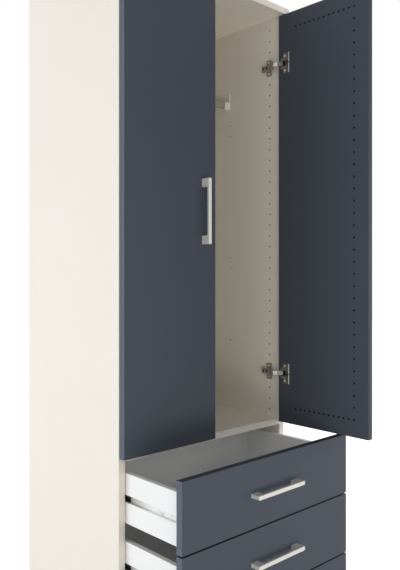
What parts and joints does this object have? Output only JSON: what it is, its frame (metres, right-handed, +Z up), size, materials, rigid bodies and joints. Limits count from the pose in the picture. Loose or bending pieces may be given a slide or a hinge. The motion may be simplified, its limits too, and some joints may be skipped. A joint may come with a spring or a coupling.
{
  "type": "chifforobe",
  "caption": "Tall narrow cabinet with a two-door wardrobe above a stack of drawers, on concealed hinges and ball-bearing runners.",
  "frame": {"origin": "on the floor, half way across the cabinet and in the middle of the plinth board's thickness, 30 mm behind the carcase's front edge", "axes": "+X to the right when facing the fronts, +Y from the fronts to the wall, +Z up; doors and drawers open towards -Y"},
  "size_m": [0.6188, 0.7185, 1.94],
  "materials": {
    "cream_board": "matt cream melamine on chipboard",
    "back_board": "cream lacquered hardboard",
    "blue_front": "fine matt slate-blue foil on chipboard",
    "drawer_white": "smooth white foil on chipboard",
    "drawer_floor": "grey-white printed hardboard",
    "satin_nickel": "brushed satin nickel",
    "hinge_steel": "nickel-plated pressed steel",
    "link_steel": "bright nickel-plated steel",
    "rail_steel": "satin zinc-plated steel",
    "bracket_plastic": "moulded cream plastic",
    "runner_steel": "bright zinc-plated steel",
    "runner_white": "white powder coat",
    "cage_plastic": "moulded black plastic"
  },
  "bodies": {
    "carcase": {"left_side_panel": "cream_board", "right_side_panel": "cream_board", "top_panel": "cream_board", "middle_shelf": "cream_board", "bottom_panel": "cream_board", "plinth_board": "cream_board", "rear_plinth_rail": "cream_board", "upper_back_panel": "back_board", "lower_back_panel": "back_board", "wardrobe_rail": "rail_steel", "rail_brackets": "bracket_plastic", "left_hinge_plates": "hinge_steel", "right_hinge_plates": "hinge_steel", "left_hinge_arms": "hinge_steel", "right_hinge_arms": "hinge_steel", "left_fixed_rails": "runner_steel", "right_fixed_rails": "runner_steel"},
    "left_links": {"left_hinge_links": "link_steel"},
    "right_links": {"right_hinge_links": "link_steel"},
    "left_door": {"left_door_panel": "blue_front", "left_door_handle": "satin_nickel", "left_hinge_cups": "hinge_steel"},
    "right_door": {"right_door_panel": "blue_front", "right_door_handle": "satin_nickel", "right_hinge_cups": "hinge_steel"},
    "drawer_1": {"drawer_1_front": "blue_front", "drawer_1_handle": "satin_nickel", "drawer_1_left_side": "drawer_white", "drawer_1_right_side": "drawer_white", "drawer_1_back": "drawer_white", "drawer_1_floor": "drawer_floor", "drawer_1_slide_rails": "runner_white"},
    "drawer_1_cages": {"drawer_1_ball_cages": "cage_plastic"},
    "drawer_2": {"drawer_2_front": "blue_front", "drawer_2_handle": "satin_nickel", "drawer_2_left_side": "drawer_white", "drawer_2_right_side": "drawer_white", "drawer_2_back": "drawer_white", "drawer_2_floor": "drawer_floor", "drawer_2_slide_rails": "runner_white"},
    "drawer_2_cages": {"drawer_2_ball_cages": "cage_plastic"},
    "drawer_3": {"drawer_3_front": "blue_front", "drawer_3_handle": "satin_nickel", "drawer_3_left_side": "drawer_white", "drawer_3_right_side": "drawer_white", "drawer_3_back": "drawer_white", "drawer_3_floor": "drawer_floor", "drawer_3_slide_rails": "runner_white"},
    "drawer_3_cages": {"drawer_3_ball_cages": "cage_plastic"},
    "drawer_4": {"drawer_4_front": "blue_front", "drawer_4_handle": "satin_nickel", "drawer_4_left_side": "drawer_white", "drawer_4_right_side": "drawer_white", "drawer_4_back": "drawer_white", "drawer_4_floor": "drawer_floor", "drawer_4_slide_rails": "runner_white"},
    "drawer_4_cages": {"drawer_4_ball_cages": "cage_plastic"}
  },
  "joints": [
    {"name": "left_link_swing", "type": "hinge", "parent": "carcase", "child": "left_links", "pos_m": [-0.2614, -0.0233, 1.777], "axis": [0, 0, -1], "range_deg": [-38.94, 0.05]},
    {"name": "left_door_swing", "type": "hinge", "parent": "left_links", "child": "left_door", "pos_m": [-0.2864, -0.033, 1.777], "axis": [0, 0, -1], "range_deg": [0, 138.89]},
    {"name": "right_link_swing", "type": "hinge", "parent": "carcase", "child": "right_links", "pos_m": [0.2614, -0.0233, 1.777], "axis": [0, 0, 1], "range_deg": [-3.94, 35.05]},
    {"name": "right_door_swing", "type": "hinge", "parent": "right_links", "child": "right_door", "pos_m": [0.27631, -0.04559, 1.777], "axis": [0, 0, 1], "range_deg": [-125, 13.89]},
    {"name": "drawer_1_slide", "type": "slide", "parent": "carcase", "child": "drawer_1", "axis": [0, -1, 0], "range_m": [-0.198, 0.012]},
    {"name": "drawer_1_cage_travel", "type": "slide", "parent": "carcase", "child": "drawer_1_cages", "axis": [0, -1, 0], "range_m": [-0.0991, 0.0061]},
    {"name": "drawer_2_slide", "type": "slide", "parent": "carcase", "child": "drawer_2", "axis": [0, -1, 0], "range_m": [-0.198, 0.012]},
    {"name": "drawer_2_cage_travel", "type": "slide", "parent": "carcase", "child": "drawer_2_cages", "axis": [0, -1, 0], "range_m": [-0.0991, 0.0061]},
    {"name": "drawer_3_slide", "type": "slide", "parent": "carcase", "child": "drawer_3", "axis": [0, -1, 0], "range_m": [-0.198, 0.012]},
    {"name": "drawer_3_cage_travel", "type": "slide", "parent": "carcase", "child": "drawer_3_cages", "axis": [0, -1, 0], "range_m": [-0.0991, 0.0061]},
    {"name": "drawer_4_slide", "type": "slide", "parent": "carcase", "child": "drawer_4", "axis": [0, -1, 0], "range_m": [-0.198, 0.012]},
    {"name": "drawer_4_cage_travel", "type": "slide", "parent": "carcase", "child": "drawer_4_cages", "axis": [0, -1, 0], "range_m": [-0.0991, 0.0061]}
  ],
  "couplings": [
    {"joint": "left_link_swing", "follows": "left_door_swing", "ratio": -0.28},
    {"joint": "right_link_swing", "follows": "right_door_swing", "ratio": -0.28},
    {"joint": "drawer_1_cage_travel", "follows": "drawer_1_slide", "ratio": 0.5},
    {"joint": "drawer_2_cage_travel", "follows": "drawer_2_slide", "ratio": 0.5},
    {"joint": "drawer_3_cage_travel", "follows": "drawer_3_slide", "ratio": 0.5},
    {"joint": "drawer_4_cage_travel", "follows": "drawer_4_slide", "ratio": 0.5}
  ]
}
